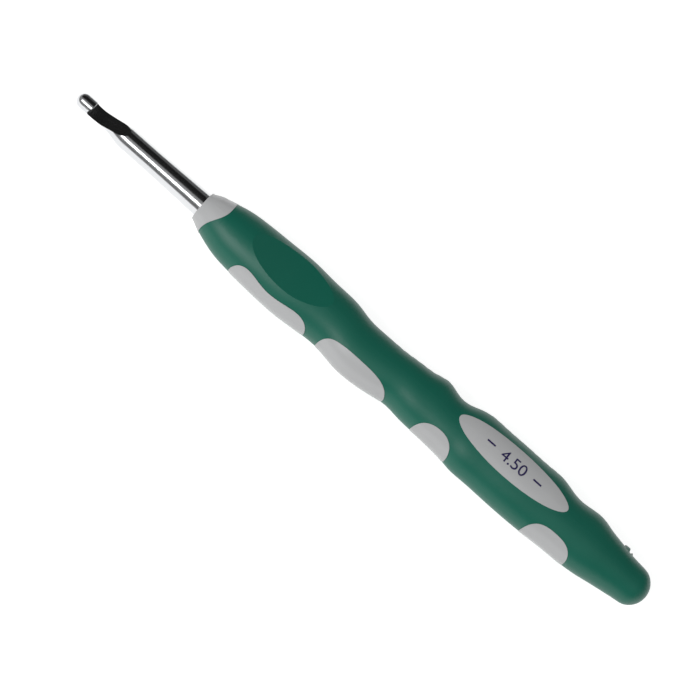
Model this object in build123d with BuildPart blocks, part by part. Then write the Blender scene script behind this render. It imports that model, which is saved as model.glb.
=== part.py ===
"""Crochet hook with a moulded soft-grip handle, in millimetres.

Everything is modelled from the nose of the handle, on the shaft's axis, where the shaft comes out. +X runs from
the hook's tip to the handle's butt, +Y points to the ribbed edge of the handle, and +Z out of the face with the
thumb rest, which is also the way the hook's mouth opens. The finished pieces are then set down together, so that
the middle of the whole hook's base is the origin.
"""

import os
from copy import copy
from math import cos, radians, sin
from typing import NamedTuple

from build123d import *

# Hook: one rod, turned and then pressed to form the mouth.
shaft_diameter = 4.5  # the gauge that sets the stitch
exposed_length = 31.2  # tip to nose
head_diameter = 3.2
neck_diameter = 3.0
neck_length = 7.4  # tip to the slimmest place
throat_length = 12.4  # tip to the gauge diameter
gauge_length = 6.4
root_diameter = 5.0  # where the rod enters the handle
lip_length = 3.9  # tip to the lip's edge
lip_overhang = 0.8  # how far the mouth undercuts the lip
mouth_depth = 1.95  # below the top of the head
mouth_floor_length = 3.0
mouth_corner_radius = 0.7
throat_blend_radius = 6.0
shank_length = 35.0  # held inside the handle
shank_chamfer = 0.6
groove_count = 3
groove_depth = 0.4
groove_width = 1.5
groove_pitch = 4.0
first_groove = 8.0  # nose to the first groove's centre
key_flat_length = 8.0
key_flat_depth = 0.5

# Handle: these lengths add up along X from the nose.
nose_length = 10.6
thumb_length = 23.7
waist_length = 22.5
saddle_length = 10.2
label_length = 18.0
dip_length = 10.1
tail_length = 11.8
butt_radius = 3.9

# Handle: what its two mouldings share.
nose_wall = 0.5  # ring of plastic round the rod at the nose
grip_wall = 1.2  # soft grip over the hard core
pad_side_wall = 0.55  # thinner beside the finger pads, which grow out of the core there
least_grip_wall = 0.4
core_wall = 0.75  # least hard plastic round the rod
boss_stand = 0.1  # hard pads and label stand this far above the soft grip
scoop_length = 21.8
scoop_depth = 1.25
nose_cover = 4.4  # hard plastic shows this far back from the nose
anchor_diameter = 2.6  # soft plugs through the core
anchor_pitch = 7.0
waist_anchor_setback = 6.0  # the pairs' centres, from the waist's end and from the dip's
tail_anchor_advance = 2.0

# Ribs on the +Y edge.
rib_pitch = 1.87
rib_width = 1.0
rib_height = 0.25
rib_wrap = 0.72  # share of the handle's thickness that a rib reaches

# Oval label on both faces, and the mark on the front one.
label_shift = 0.75  # towards the nose from the middle of its plateau
label_half_length = 13.25
label_half_width = 3.3
mark_height = 2.5
mark_stroke = 0.36
mark_thickness = 0.05
bar_length = 1.9
bar_gap = 2.0  # digits to the middle of a bar

# Where each stretch of the handle ends.
nose_end = nose_length
thumb_end = nose_end + thumb_length
waist_end = thumb_end + waist_length
saddle_end = waist_end + saddle_length
label_end = saddle_end + label_length
dip_end = label_end + dip_length
tail_end = dip_end + tail_length

shaft_radius = shaft_diameter / 2
root_radius = root_diameter / 2
head_radius = head_diameter / 2
core_least = root_radius + core_wall
tip_x = -exposed_length
mark_x = (saddle_end + label_end) / 2 - label_shift
through = 60.0  # wider than any cut across the handle


class Section(NamedTuple):
    """One cross-section of the handle: its place along X and how far its sides reach."""

    x: float
    ribbed: float  # towards +Y
    padded: float  # towards -Y
    face: float  # towards +Z and -Z alike

    def grown(self, growth: float) -> "Section":
        """The same section with every side moved outwards."""
        return Section(self.x, self.ribbed + growth, self.padded + growth, self.face + growth)

    def under_grip(self) -> "Section":
        """The hidden core's section, with no less than the core's wall round the rod."""
        least = core_least if self.x < shank_length + core_wall else 0
        ribbed = max(self.ribbed - grip_wall, least)
        padded = max(self.padded - pad_side_wall, least)
        face = max(self.face - grip_wall, least)
        return Section(self.x, ribbed, padded, face)


nose_reach = root_radius + nose_wall

body_sections = [
    # The nose opens like a bullet from the ring round the rod.
    Section(0, nose_reach - 0.11, nose_reach + 0.11, nose_reach),
    Section(0.06 * nose_length, nose_reach + 0.06, nose_reach + 0.35, nose_reach + 0.24),
    Section(0.15 * nose_length, nose_reach + 0.60, nose_reach + 0.85, nose_reach + 0.66),
    Section(0.28 * nose_length, nose_reach + 0.97, nose_reach + 1.42, nose_reach + 1.16),
    Section(0.47 * nose_length, nose_reach + 1.54, nose_reach + 2.10, nose_reach + 1.70),
    Section(0.71 * nose_length, 5.18, 5.78, 5.08),
    Section(nose_end, 5.55, 6.18, 5.34),
    # The long swell round the thumb rest.
    Section(nose_end + 0.30 * thumb_length, 5.90, 6.60, 5.62),
    Section(nose_end + 0.54 * thumb_length, 6.06, 6.66, 5.70),
    Section(nose_end + 0.76 * thumb_length, 5.74, 6.22, 5.46),
    Section(thumb_end, 5.46, 6.10, 5.25),
    # The waist steps in on the ribbed edge and swells for the second finger on the other.
    Section(thumb_end + 0.17 * waist_length, 4.70, 6.76, 5.00),
    Section(thumb_end + 0.36 * waist_length, 4.60, 6.78, 4.95),
    Section(thumb_end + 0.56 * waist_length, 4.60, 6.10, 4.98),
    Section(thumb_end + 0.70 * waist_length, 4.92, 5.60, 5.02),
    Section(thumb_end + 0.86 * waist_length, 5.30, 5.92, 5.12),
    Section(waist_end, 5.90, 6.08, 5.22),
    # The saddle dips between the waist's ribs and the label.
    Section(waist_end + 0.31 * saddle_length, 5.06, 6.13, 5.20),
    Section(waist_end + 0.56 * saddle_length, 5.18, 6.26, 5.26),
    Section(waist_end + 0.78 * saddle_length, 6.02, 6.50, 5.34),
    Section(saddle_end, 6.52, 6.92, 5.44),
    # The label's plateau.
    Section(saddle_end + 0.18 * label_length, 6.54, 6.96, 5.49),
    Section(saddle_end + 0.50 * label_length, 6.54, 7.00, 5.56),
    Section(saddle_end + 0.82 * label_length, 6.54, 6.98, 5.50),
    Section(label_end, 6.52, 6.84, 5.44),
    # The dip, and the small swell that ends it.
    Section(label_end + 0.22 * dip_length, 5.96, 6.64, 5.38),
    Section(label_end + 0.50 * dip_length, 5.46, 6.46, 5.32),
    Section(dip_end, 5.86, 6.30, 5.20),
    # The tail narrows to the round butt.
    Section(dip_end + 0.25 * tail_length, 5.14, 5.94, 5.02),
    Section(dip_end + 0.50 * tail_length, 4.54, 5.38, 4.72),
    Section(dip_end + 0.76 * tail_length, 3.96, 4.86, 4.34),
]

butt_angles = (0, 20, 38, 54, 68, 80)  # degrees round the dome, which a small gate flat closes
butt_drop = 0.35  # the dome's centre lies this far towards -Y
butt_spread = 1.05  # the dome is this much wider than it is thick


def butt_sections(radius: float) -> list[Section]:
    """The rounded end of the handle, as sections of a dome."""
    dome = []
    for degrees in butt_angles:
        reach = radius * cos(radians(degrees))
        side = butt_spread * reach
        dome.append(Section(tail_end + radius * sin(radians(degrees)), side - butt_drop, side + butt_drop, reach))
    return dome


def oval(section: Section) -> Sketch:
    """The section's ellipse, drawn across the handle."""
    with BuildSketch(Plane.YZ.offset(section.x)) as sketch:
        with Locations(((section.ribbed - section.padded) / 2, 0)):
            Ellipse((section.ribbed + section.padded) / 2, section.face)
    return sketch.sketch


# The thumb rest on the front and the finger rest on the back are shallow cylinders across the handle.
scoop_centre = nose_end + 0.44 * thumb_length
scoop_radius = (scoop_length**2 / 4 + scoop_depth**2) / (2 * scoop_depth)
scoop_offset = max(section.face for section in body_sections[:10]) - scoop_depth + scoop_radius


def scoop_cutter(growth: float) -> Part:
    """Both scoops, deepened by growth."""
    with BuildPart() as cutter:
        with BuildSketch(Plane.XZ):
            with Locations((scoop_centre, scoop_offset), (scoop_centre, -scoop_offset)):
                Circle(scoop_radius + growth)
        extrude(amount=through, both=True)
    return cutter.part


# The handle's outer form, and the same form raised for the hard plastic that shows.
with BuildPart() as form:
    for section in body_sections + butt_sections(butt_radius):
        add(oval(section))
    loft()
    add(scoop_cutter(0), mode=Mode.SUBTRACT)

with BuildPart() as boss_form:
    for section in body_sections + butt_sections(butt_radius):
        add(oval(section.grown(boss_stand)))
    loft()
    add(scoop_cutter(-boss_stand), mode=Mode.SUBTRACT)

# Hook: the rod's profile is turned round X, from the tip to the end of the shank.
gauge_start = tip_x + throat_length
gauge_end = gauge_start + gauge_length
neck_x = tip_x + neck_length

with BuildPart() as hook_shaft:
    with BuildSketch(Plane.XZ):
        with BuildLine():
            tip = CenterArc((tip_x + head_radius, 0), head_radius, 180, -90)
            neck = Spline(tip @ 1, (neck_x, neck_diameter / 2), tangents=[(1, 0), (1, 0)])
            throat = Spline(neck @ 1, (gauge_start, shaft_radius), tangents=[(1, 0), (1, 0)])
            Polyline(
                throat @ 1,
                (gauge_end, shaft_radius),
                (0, root_radius),
                (shank_length, root_radius),
                (shank_length, 0),
                tip @ 0,
            )
        make_face()
    revolve(axis=Axis.X)
    shank_rim = hook_shaft.edges().filter_by(GeomType.CIRCLE).sort_by(Axis.X)[-1]
    chamfer(shank_rim, shank_chamfer)

    # The mouth: a slanted lip, a level floor and a long ramp back up to the gauge diameter.
    mouth_floor = head_radius - mouth_depth
    lip_x = tip_x + lip_length
    floor_start = lip_x - lip_overhang
    floor_end = floor_start + mouth_floor_length
    mouth_open = 2 * shaft_radius
    lip_top_x = floor_start + lip_overhang * (mouth_open - mouth_floor) / mouth_depth
    ramp_top_x = floor_end + (gauge_start - floor_end) * (mouth_open - mouth_floor) / (shaft_radius - mouth_floor)
    with BuildSketch(Plane.XZ):
        with BuildLine():
            mouth = FilletPolyline(
                (lip_top_x, mouth_open),
                (floor_start, mouth_floor),
                (floor_end, mouth_floor),
                (ramp_top_x, mouth_open),
                radius=[mouth_corner_radius, throat_blend_radius],
            )
            Line(mouth @ 1, mouth @ 0)
        make_face()
    extrude(amount=through, both=True, mode=Mode.SUBTRACT)

    # The shank's grooves and key flats, which the core is moulded into.
    for groove in range(groove_count):
        groove_start = first_groove + groove * groove_pitch - groove_width / 2
        with BuildSketch(Plane.YZ.offset(groove_start)):
            Circle(root_radius)
            Circle(root_radius - groove_depth, mode=Mode.SUBTRACT)
        extrude(amount=groove_width, mode=Mode.SUBTRACT)
    with BuildSketch(Plane.YZ.offset(shank_length - key_flat_length)):
        Circle(2 * root_radius)
        Rectangle(4 * root_radius, 2 * (root_radius - key_flat_depth), mode=Mode.SUBTRACT)
    extrude(amount=key_flat_length, mode=Mode.SUBTRACT)


class FingerPad(NamedTuple):
    """A hard pad on the -Y edge: its two ends along X, and its border as (share of length, reach to -Y)."""

    start: float
    end: float
    border: tuple[tuple[float, float], ...]


# Each border starts and ends outside the handle, so that it crosses the surface at an angle.
finger_pads = [
    FingerPad(
        nose_end + 0.6,
        thumb_end - 3.4,
        ((0, 7.00), (0.07, 5.74), (0.36, 5.84), (0.64, 5.76), (0.89, 5.58), (1, 6.80)),
    ),
    FingerPad(
        thumb_end - 1.5,
        waist_end - 6.8,
        ((0, 6.90), (0.08, 5.00), (0.22, 4.50), (0.48, 4.42), (0.72, 4.52), (0.88, 5.00), (1, 6.30)),
    ),
    FingerPad(
        waist_end - 0.4,
        saddle_end - 1.5,
        ((0, 7.00), (0.15, 5.00), (0.46, 4.26), (0.79, 4.85), (1, 7.10)),
    ),
    FingerPad(
        label_end - 0.8,
        dip_end,
        ((0, 7.60), (0.14, 5.35), (0.50, 4.55), (0.84, 5.20), (1, 7.20)),
    ),
]

# The wavy edge of the nose's hard plastic, as (way back from nose_cover, y).
nose_border = (
    (0.00, 6.0),
    (0.40, 4.4),
    (0.60, 2.0),
    (0.62, 0.0),
    (0.00, -1.7),
    (-1.05, -3.1),
    (-1.75, -4.2),
    (-1.60, -6.0),
)

# Everything of the core that shows, drawn on XY as it is seen from the front and cut through both faces.
with BuildPart() as windows:
    with BuildSketch(Plane.XY):
        for pad in finger_pads:
            pad_length = pad.end - pad.start
            with BuildLine():
                edge = Spline(*[(pad.start + share * pad_length, -reach) for share, reach in pad.border])
                Polyline(edge @ 1, (pad.end, -through), (pad.start, -through), edge @ 0)
            make_face()
        with BuildLine():
            edge = Spline(*[(nose_cover + shift, y) for shift, y in nose_border])
            Polyline(edge @ 1, (-through, -through), (-through, through), edge @ 0)
        make_face()
        with Locations((mark_x, 0)):
            Ellipse(label_half_length, label_half_width)
    extrude(amount=through, both=True)

# Core: hard plastic round the shank, full size where it shows and a wall smaller under the soft grip.
waist_anchors = waist_end - waist_anchor_setback
tail_anchors = dip_end + tail_anchor_advance

with BuildPart() as handle_core:
    for section in body_sections:
        if section.face > core_least + least_grip_wall:
            add(oval(section.under_grip()))
    for section in butt_sections(butt_radius - grip_wall):
        add(oval(section))
    loft(ruled=True)
    add(scoop_cutter(grip_wall), mode=Mode.SUBTRACT)
    with BuildSketch(Plane.XY):
        for anchors in (waist_anchors, tail_anchors):
            with Locations((anchors, 0)), GridLocations(anchor_pitch, 0, 2, 1):
                Circle(anchor_diameter / 2)
    extrude(amount=through, both=True, mode=Mode.SUBTRACT)
    add(boss_form.part & windows.part)
    add(hook_shaft.part, mode=Mode.SUBTRACT)

# Soft grip: the rest of the outer form, with ribs on its +Y edge and plugs in the core's holes.
rib_stretches = (
    (thumb_end + 0.46 * waist_length, waist_end),
    (saddle_end, label_end),
    (dip_end + rib_pitch / 2, tail_end - rib_pitch),
)


def leaned(section: Section) -> Section:
    """A section that comes out of the handle only at its +Y edge, by the height of a rib."""
    lean = section.face * (1 - rib_wrap)
    return Section(section.x, section.ribbed + rib_height, section.padded - lean, section.face - lean)


with BuildPart() as ribs:
    for section in body_sections:
        add(oval(leaned(section)))
    loft()
    with BuildSketch(Plane.XY):
        for start, end in rib_stretches:
            rib_count = int((end - start) / rib_pitch) + 1
            with Locations(((start + end) / 2, 0)), GridLocations(rib_pitch, 0, rib_count, 1):
                with Locations((0, through / 4)):
                    Rectangle(rib_width, through / 2)
    extrude(amount=through, both=True, mode=Mode.INTERSECT)

with BuildPart() as soft_grip:
    add(form.part)
    add(ribs.part)
    add(handle_core.part, mode=Mode.SUBTRACT)
    add(hook_shaft.part, mode=Mode.SUBTRACT)

# Size mark: plain digits with a bar on each side, a film of ink on the front label.
digit_width = 0.62 * mark_height
digit_gap = 0.30 * mark_height
mark_y = -mark_height / 2
four_x = mark_x - 1.5 * digit_width - 1.5 * digit_gap
point_x = four_x + digit_width + digit_gap
five_x = point_x + mark_stroke / 2 + digit_gap
zero_x = five_x + digit_width + digit_gap
mark_reach = zero_x + digit_width - mark_x
digit_bar = 0.30 * mark_height  # height of the four's crossbar

with BuildPart() as mark_form:
    for section in body_sections:
        add(oval(section.grown(boss_stand + mark_thickness)))
    loft()

with BuildPart() as size_mark:
    with BuildSketch(Plane.XY):
        with BuildLine():
            Polyline(
                (four_x + 0.75 * digit_width, mark_y),
                (four_x + 0.75 * digit_width, mark_y + mark_height),
                (four_x, mark_y + digit_bar),
                (four_x + digit_width, mark_y + digit_bar),
            )
        trace(line_width=mark_stroke)
        with Locations((point_x, mark_y)):
            Circle(0.65 * mark_stroke)
        with BuildLine():
            shoulder = Polyline(
                (five_x + 0.92 * digit_width, mark_y + mark_height),
                (five_x + 0.15 * digit_width, mark_y + mark_height),
                (five_x + 0.08 * digit_width, mark_y + 0.52 * mark_height),
            )
            Spline(
                shoulder @ 1,
                (five_x + 0.52 * digit_width, mark_y + 0.66 * mark_height),
                (five_x + digit_width, mark_y + 0.34 * mark_height),
                (five_x + 0.50 * digit_width, mark_y),
                (five_x, mark_y + 0.16 * mark_height),
            )
        trace(line_width=mark_stroke)
        with Locations((zero_x + digit_width / 2, 0)):
            Ellipse((digit_width + mark_stroke) / 2, (mark_height + mark_stroke) / 2)
            Ellipse((digit_width - mark_stroke) / 2, (mark_height - mark_stroke) / 2, mode=Mode.SUBTRACT)
        with Locations((mark_x - mark_reach - bar_gap, 0), (mark_x + mark_reach + bar_gap, 0)):
            Rectangle(bar_length, mark_stroke)
    extrude(amount=through)
    add(mark_form.part, mode=Mode.INTERSECT)
    add(boss_form.part, mode=Mode.SUBTRACT)

# Set the whole hook down with the middle of its base at the origin.
hook_shaft.part.label = "hook_shaft"
handle_core.part.label = "handle_core"
soft_grip.part.label = "soft_grip"
size_mark.part.label = "size_mark"
pieces = (hook_shaft.part, handle_core.part, soft_grip.part, size_mark.part)
box = Compound(children=[copy(piece) for piece in pieces]).bounding_box()
set_down = Location((-box.center().X, -box.center().Y, -box.min.Z))
for piece in pieces:
    piece.move(set_down)

os.makedirs("parts", exist_ok=True)
export_step(hook_shaft.part, "parts/hook_shaft.step")
export_step(handle_core.part, "parts/handle_core.step")
export_step(soft_grip.part, "parts/soft_grip.step")
export_step(size_mark.part, "parts/size_mark.step")
print("nose on the shaft's axis lies at", set_down.position)
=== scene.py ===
"""Looks of a crochet hook with a moulded soft-grip handle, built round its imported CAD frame, in metres."""

import logging
import math
from dataclasses import dataclass

import bmesh
import bpy
from mathutils import Matrix, Vector


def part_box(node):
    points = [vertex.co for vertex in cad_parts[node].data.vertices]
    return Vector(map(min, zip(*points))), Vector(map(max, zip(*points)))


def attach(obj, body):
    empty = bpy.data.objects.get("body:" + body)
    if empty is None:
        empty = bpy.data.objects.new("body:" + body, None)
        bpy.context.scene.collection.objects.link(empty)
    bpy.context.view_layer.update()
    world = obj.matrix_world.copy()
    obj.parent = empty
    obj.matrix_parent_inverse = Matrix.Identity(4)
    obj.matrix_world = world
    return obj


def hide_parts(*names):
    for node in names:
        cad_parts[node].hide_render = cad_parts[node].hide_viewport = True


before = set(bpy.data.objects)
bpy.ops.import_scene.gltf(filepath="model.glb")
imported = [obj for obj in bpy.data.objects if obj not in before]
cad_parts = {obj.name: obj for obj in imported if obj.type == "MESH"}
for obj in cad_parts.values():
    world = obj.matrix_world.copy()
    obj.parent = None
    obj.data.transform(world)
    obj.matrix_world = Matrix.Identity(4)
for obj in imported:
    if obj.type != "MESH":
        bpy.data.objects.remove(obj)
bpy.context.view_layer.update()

log = logging.getLogger("crochet_hook")

MM = 0.001
Colour = tuple[float, float, float]
Place = tuple[float, float, float]

FINE_DETAIL = 3
BROAD_DETAIL = 4
BROAD_SCALE = 90  # of the slow change in colour and gloss
BUMP_STRENGTH = 0.25
CAP_SHARE = 0.73  # of a letter's size, taken by a digit's height


def new_material(name: str) -> tuple[bpy.types.Material, bpy.types.Node]:
    """Make a node material.

    Args:
        name: the material's name.

    Returns:
        The material and its Principled BSDF.
    """
    material = bpy.data.materials.new(name)
    material.use_nodes = True
    return material, material.node_tree.nodes["Principled BSDF"]


def mould_grain() -> bpy.types.ShaderNodeTree:
    """Make the fine texture of a moulded or drawn surface.

    Returns:
        The node group, which gives a height and a mask.
    """
    tree = bpy.data.node_groups.new("mould_grain", "ShaderNodeTree")
    tree.interface.new_socket("Vector", in_out="INPUT", socket_type="NodeSocketVector")
    tree.interface.new_socket("Scale", in_out="INPUT", socket_type="NodeSocketFloat")
    tree.interface.new_socket("Height", in_out="OUTPUT", socket_type="NodeSocketFloat")
    tree.interface.new_socket("Mask", in_out="OUTPUT", socket_type="NodeSocketFloat")
    entry = tree.nodes.new("NodeGroupInput")
    leave = tree.nodes.new("NodeGroupOutput")
    fine = tree.nodes.new("ShaderNodeTexNoise")
    fine.inputs["Detail"].default_value = FINE_DETAIL
    broad = tree.nodes.new("ShaderNodeTexNoise")
    broad.inputs["Scale"].default_value = BROAD_SCALE
    broad.inputs["Detail"].default_value = BROAD_DETAIL
    tree.links.new(entry.outputs["Vector"], fine.inputs["Vector"])
    tree.links.new(entry.outputs["Scale"], fine.inputs["Scale"])
    tree.links.new(entry.outputs["Vector"], broad.inputs["Vector"])
    tree.links.new(fine.outputs["Fac"], leave.inputs["Height"])
    tree.links.new(broad.outputs["Fac"], leave.inputs["Mask"])
    return tree


@dataclass(frozen=True)
class Finish:
    """A surface's colour, gloss and grain."""

    name: str
    base: Colour
    worn: Colour
    roughness: float
    roughness_spread: float
    grain_scale: float
    grain_depth: float
    stretch: Place = (1.0, 1.0, 1.0)
    metallic: float = 0.0
    specular: float = 0.5

    def material(self, grain: bpy.types.ShaderNodeTree) -> bpy.types.Material:
        """Build the finish as a material.

        Args:
            grain: the shared grain group.

        Returns:
            The material.
        """
        material, shader = new_material(self.name)
        tree = material.node_tree
        place = tree.nodes.new("ShaderNodeTexCoord")
        mapping = tree.nodes.new("ShaderNodeMapping")
        mapping.inputs["Scale"].default_value = self.stretch
        group = tree.nodes.new("ShaderNodeGroup")
        group.node_tree = grain
        group.inputs["Scale"].default_value = self.grain_scale
        tree.links.new(place.outputs["Object"], mapping.inputs["Vector"])
        tree.links.new(mapping.outputs["Vector"], group.inputs["Vector"])
        mix = tree.nodes.new("ShaderNodeMix")
        mix.data_type = "RGBA"
        mix.inputs["A"].default_value = (*self.base, 1)
        mix.inputs["B"].default_value = (*self.worn, 1)
        tree.links.new(group.outputs["Mask"], mix.inputs["Factor"])
        tree.links.new(mix.outputs["Result"], shader.inputs["Base Color"])
        spread = tree.nodes.new("ShaderNodeMapRange")
        spread.inputs["To Min"].default_value = self.roughness - self.roughness_spread
        spread.inputs["To Max"].default_value = self.roughness + self.roughness_spread
        tree.links.new(group.outputs["Mask"], spread.inputs["Value"])
        tree.links.new(spread.outputs["Result"], shader.inputs["Roughness"])
        bump = tree.nodes.new("ShaderNodeBump")
        bump.inputs["Strength"].default_value = BUMP_STRENGTH
        bump.inputs["Distance"].default_value = self.grain_depth
        tree.links.new(group.outputs["Height"], bump.inputs["Height"])
        tree.links.new(bump.outputs["Normal"], shader.inputs["Normal"])
        shader.inputs["Metallic"].default_value = self.metallic
        shader.inputs["Specular IOR Level"].default_value = self.specular
        return material


SOFT_GRIP = Finish(
    name="soft_grip_green",
    base=(0.0, 0.135, 0.088),
    worn=(0.001, 0.155, 0.103),
    roughness=0.42,
    roughness_spread=0.05,
    grain_scale=5200,
    grain_depth=0.00003,
)
HARD_PLASTIC = Finish(
    name="hard_plastic_white",
    base=(0.60, 0.61, 0.615),
    worn=(0.56, 0.565, 0.57),
    roughness=0.24,
    roughness_spread=0.05,
    grain_scale=900,
    grain_depth=0.00001,
)
ALUMINIUM = Finish(
    name="polished_aluminium",
    base=(0.70, 0.71, 0.72),
    worn=(0.62, 0.63, 0.64),
    roughness=0.17,
    roughness_spread=0.04,
    grain_scale=4000,
    grain_depth=0.00001,
    stretch=(0.03, 1.0, 1.0),
    metallic=1.0,
)
INK = Finish(
    name="mark_ink_navy",
    base=(0.022, 0.014, 0.10),
    worn=(0.03, 0.02, 0.12),
    roughness=0.45,
    roughness_spread=0.05,
    grain_scale=3000,
    grain_depth=0.00001,
)


@dataclass(frozen=True)
class Lamp:
    """One soft square lamp that points at the hook's middle."""

    name: str
    place: Place
    size: float
    power: float


@dataclass(frozen=True)
class ReflectionCard:
    """One dimly glowing card that only mirror-like surfaces show, painting a dark or grey reflection band on
    the metal, between two angles from overhead, in degrees.
    """

    name: str
    low: float
    high: float
    shade: float


LAMPS = (
    Lamp(name="key", place=(-0.25, -0.45, 0.45), size=0.35, power=2.0),
    Lamp(name="fill", place=(0.2, 0.1, 0.7), size=0.5, power=0.35),
)
# Painted reflection: these glowing cards cast no light or shadow and show only in glossy surfaces, mostly as
# the dark and grey reflection streaks along the aluminium shaft.
REFLECTION_CARDS = (
    ReflectionCard(name="dark_flag", low=-4, high=52, shade=0.012),
    ReflectionCard(name="grey_flag", low=52, high=86, shade=0.12),
    ReflectionCard(name="front_flag", low=-78, high=-48, shade=0.12),
)


@dataclass
class Studio:
    """The floor, the lights and the camera."""

    elevation: float = 65.0
    roll: float = 41.4
    distance: float = 365.0
    lens: float = 100.0
    look_along: float = 38.6
    look_up: float = -2.1
    floor_half: float = 3.0
    floor_shade: float = 0.85
    floor_roughness: float = 0.8
    floor_glow: float = 0.72
    world_strength: float = 0.30
    card_radius: float = 0.30
    card_half: float = 0.6
    card_steps: int = 12

    def floor(self) -> None:
        """Lay a plain pale floor, shown white to the camera under a soft shadow."""
        mesh = bpy.data.meshes.new("floor")
        bm = bmesh.new()
        bmesh.ops.create_grid(bm, x_segments=1, y_segments=1, size=self.floor_half)
        bm.to_mesh(mesh)
        bm.free()
        floor = bpy.data.objects.new("floor", mesh)
        bpy.context.collection.objects.link(floor)
        material, shader = new_material("floor_white")
        shader.inputs["Base Color"].default_value = (*[self.floor_shade] * 3, 1)
        shader.inputs["Roughness"].default_value = self.floor_roughness
        tree = material.node_tree
        glow = tree.nodes.new("ShaderNodeEmission")
        glow.inputs["Strength"].default_value = self.floor_glow
        add = tree.nodes.new("ShaderNodeAddShader")
        both = tree.nodes.new("ShaderNodeMixShader")
        path = tree.nodes.new("ShaderNodeLightPath")
        seen = tree.nodes.new("ShaderNodeMath")
        seen.operation = "MAXIMUM"
        tree.links.new(path.outputs["Is Camera Ray"], seen.inputs[0])
        tree.links.new(path.outputs["Is Glossy Ray"], seen.inputs[1])
        tree.links.new(seen.outputs[0], both.inputs[0])
        tree.links.new(shader.outputs[0], both.inputs[1])
        tree.links.new(shader.outputs[0], add.inputs[0])
        tree.links.new(glow.outputs[0], add.inputs[1])
        tree.links.new(add.outputs[0], both.inputs[2])
        tree.links.new(both.outputs[0], tree.nodes["Material Output"].inputs["Surface"])
        mesh.materials.append(material)

    def world(self) -> None:
        """Light softly from all round, with a white background."""
        world = bpy.data.worlds.new("studio")
        world.use_nodes = True
        tree = world.node_tree
        background = tree.nodes["Background"]
        background.inputs["Color"].default_value = (1, 1, 1, 1)
        path = tree.nodes.new("ShaderNodeLightPath")
        strength = tree.nodes.new("ShaderNodeMapRange")
        strength.inputs["To Min"].default_value = self.world_strength
        strength.inputs["To Max"].default_value = 1.0
        tree.links.new(path.outputs["Is Camera Ray"], strength.inputs["Value"])
        tree.links.new(strength.outputs["Result"], background.inputs["Strength"])
        bpy.context.scene.world = world

    def lamp(self, lamp: Lamp) -> None:
        """Hang one soft square lamp.

        Args:
            lamp: the lamp's name, place, size and power.
        """
        data = bpy.data.lights.new(lamp.name, "AREA")
        data.size = lamp.size
        data.energy = lamp.power
        place = Vector(lamp.place)
        holder = bpy.data.objects.new(lamp.name, data)
        holder.location = place
        holder.rotation_euler = (-place).to_track_quat("-Z", "Y").to_euler()
        bpy.context.collection.objects.link(holder)

    def card(self, form: ReflectionCard) -> None:
        """Hang one card, as an arc along the hook; it glows dimly and only glossy rays see it, a painted
        reflection band on the metal.

        Args:
            form: the card's name, angles and shade.
        """
        mesh = bpy.data.meshes.new(form.name)
        bm = bmesh.new()
        bmesh.ops.create_grid(bm, x_segments=1, y_segments=self.card_steps, size=1.0)
        for vert in bm.verts:
            lean = math.radians(form.low + (form.high - form.low) * (vert.co.y + 1) / 2)
            across = self.card_radius * math.sin(lean)
            height = self.card_radius * math.cos(lean)
            vert.co = Vector((vert.co.x * self.card_half, across, height))
        bm.to_mesh(mesh)
        bm.free()
        card = bpy.data.objects.new(form.name, mesh)
        bpy.context.collection.objects.link(card)
        material, shader = new_material(form.name)
        # Painted reflection: a black card glowing at its shade strength, hidden below from the camera, from
        # diffuse light and from shadows.
        shader.inputs["Base Color"].default_value = (0, 0, 0, 1)
        shader.inputs["Specular IOR Level"].default_value = 0
        shader.inputs["Emission Color"].default_value = (1, 1, 1, 1)
        shader.inputs["Emission Strength"].default_value = form.shade
        mesh.materials.append(material)
        card.visible_camera = False
        card.visible_diffuse = False
        card.visible_shadow = False

    def camera(self, nose: Vector) -> None:
        """Set the camera at the viewing angle.

        Args:
            nose: the handle's nose on the shaft's axis.
        """
        tilt, turn = math.radians(self.elevation), math.radians(self.roll)
        back = Vector((0, -math.cos(tilt), math.sin(tilt)))
        up = Vector((0, math.sin(tilt), math.cos(tilt)))
        along = Vector((1, 0, 0))
        right = along * math.cos(turn) + up * math.sin(turn)
        top = -along * math.sin(turn) + up * math.cos(turn)
        target = nose + along * self.look_along * MM + up * self.look_up * MM
        data = bpy.data.cameras.new("camera")
        data.lens = self.lens
        data.clip_start = 0.01
        camera = bpy.data.objects.new("camera", data)
        turned = Matrix((right, top, back)).transposed().to_4x4()
        camera.matrix_world = Matrix.Translation(target + back * self.distance * MM) @ turned
        bpy.context.collection.objects.link(camera)
        bpy.context.scene.camera = camera


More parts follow.
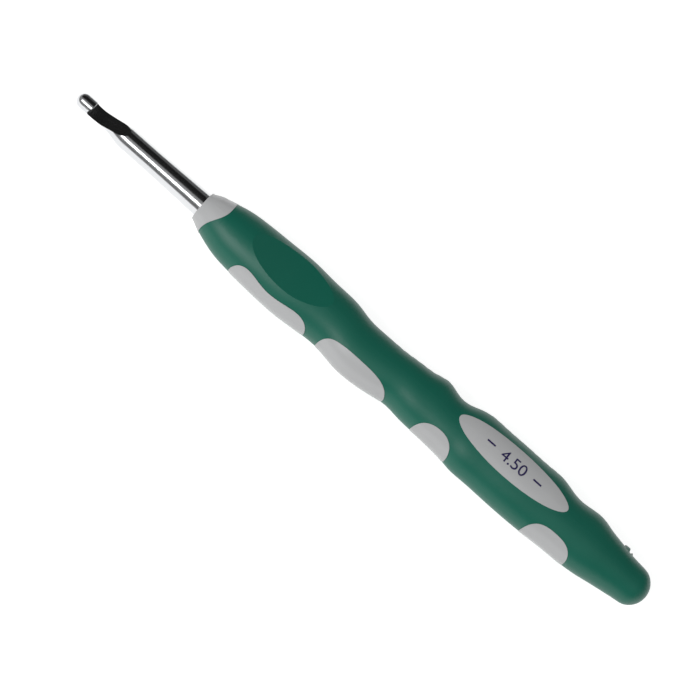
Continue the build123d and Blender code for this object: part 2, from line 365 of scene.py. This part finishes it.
@dataclass(frozen=True)
class SizeMark:
    """The plain digits printed on the front label, with a bar on each side."""

    text: str = "4.50"
    cap_height: float = 2.5
    centre: float = 75.25
    bar_length: float = 1.9
    bar_width: float = 0.36
    bar_place: float = 5.6
    lift: float = 0.045
    cell: float = 0.25
    half_length: float = 7.0
    half_height: float = 1.6
    drop: float = 20.0

    def build(self, nose: Vector) -> bpy.types.Object:
        """Make the digits and bars, cut them into small cells and lay them on the label.

        Args:
            nose: the handle's nose on the shaft's axis.

        Returns:
            The finished piece.
        """
        curve = bpy.data.curves.new("digits", "FONT")
        curve.body = self.text
        curve.align_x = "CENTER"
        curve.size = self.cap_height / CAP_SHARE
        words = bpy.data.objects.new("digits", curve)
        bpy.context.collection.objects.link(words)
        graph = bpy.context.evaluated_depsgraph_get()
        flat = bpy.data.meshes.new_from_object(words.evaluated_get(graph))
        bpy.data.objects.remove(words)
        bm = bmesh.new()
        bm.from_mesh(flat)
        for vert in bm.verts:
            vert.co.y -= self.cap_height / 2
        for side in (-1, 1):
            bar = bmesh.ops.create_grid(bm, x_segments=8, y_segments=2, size=0.5)["verts"]
            bmesh.ops.scale(bm, vec=(self.bar_length, self.bar_width, 1), verts=bar)
            bmesh.ops.translate(bm, vec=(side * self.bar_place, 0, 0), verts=bar)
        cuts = ((Vector((1, 0, 0)), self.half_length), (Vector((0, 1, 0)), self.half_height))
        for axis, reach in cuts:
            for step in range(int(2 * reach / self.cell) + 1):
                place = axis * (step * self.cell - reach)
                geometry = bm.verts[:] + bm.edges[:] + bm.faces[:]
                bmesh.ops.bisect_plane(bm, geom=geometry, plane_co=place, plane_no=axis)
        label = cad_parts["handle_core"]
        for vert in bm.verts:
            above = nose + Vector((self.centre + vert.co.x, vert.co.y, self.drop)) * MM
            hit, place, _, _ = label.ray_cast(above, Vector((0, 0, -1)))
            vert.co = place + Vector((0, 0, self.lift * MM)) if hit else above
        mesh = bpy.data.meshes.new("size_digits")
        bm.to_mesh(mesh)
        bm.free()
        piece = bpy.data.objects.new("size_digits", mesh)
        bpy.context.collection.objects.link(piece)
        mesh.materials.append(bpy.data.materials[INK.name])
        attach(piece, "root")
        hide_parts("size_mark")
        return piece


def dress(node: str, material: bpy.types.Material) -> None:
    """Give a CAD node its finish.

    Args:
        node: the node's name.
        material: its finish.
    """
    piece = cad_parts[node]
    for slot in piece.material_slots:
        slot.material = material
    log.info("dressed %s with %s", node, material.name)


def main() -> None:
    """Dress the hook and set up its studio."""
    logging.basicConfig(level=logging.INFO)
    grain = mould_grain()
    dress("soft_grip", SOFT_GRIP.material(grain))
    dress("handle_core", HARD_PLASTIC.material(grain))
    dress("hook_shaft", ALUMINIUM.material(grain))
    dress("size_mark", INK.material(grain))
    shaft_low, shaft_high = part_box("hook_shaft")
    middle = (shaft_low + shaft_high) / 2
    nose = Vector((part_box("handle_core")[0].x, middle.y, middle.z))
    studio = Studio()
    studio.floor()
    studio.world()
    for lamp in LAMPS:
        studio.lamp(lamp)
    # Painted reflection cards, seen only in glossy surfaces.
    for card in REFLECTION_CARDS:
        studio.card(card)
    studio.camera(nose)
    digits = SizeMark().build(nose)
    log.info("built %s", digits.name)
    bpy.context.scene.view_settings.view_transform = "Standard"


if __name__ == "__main__":
    main()
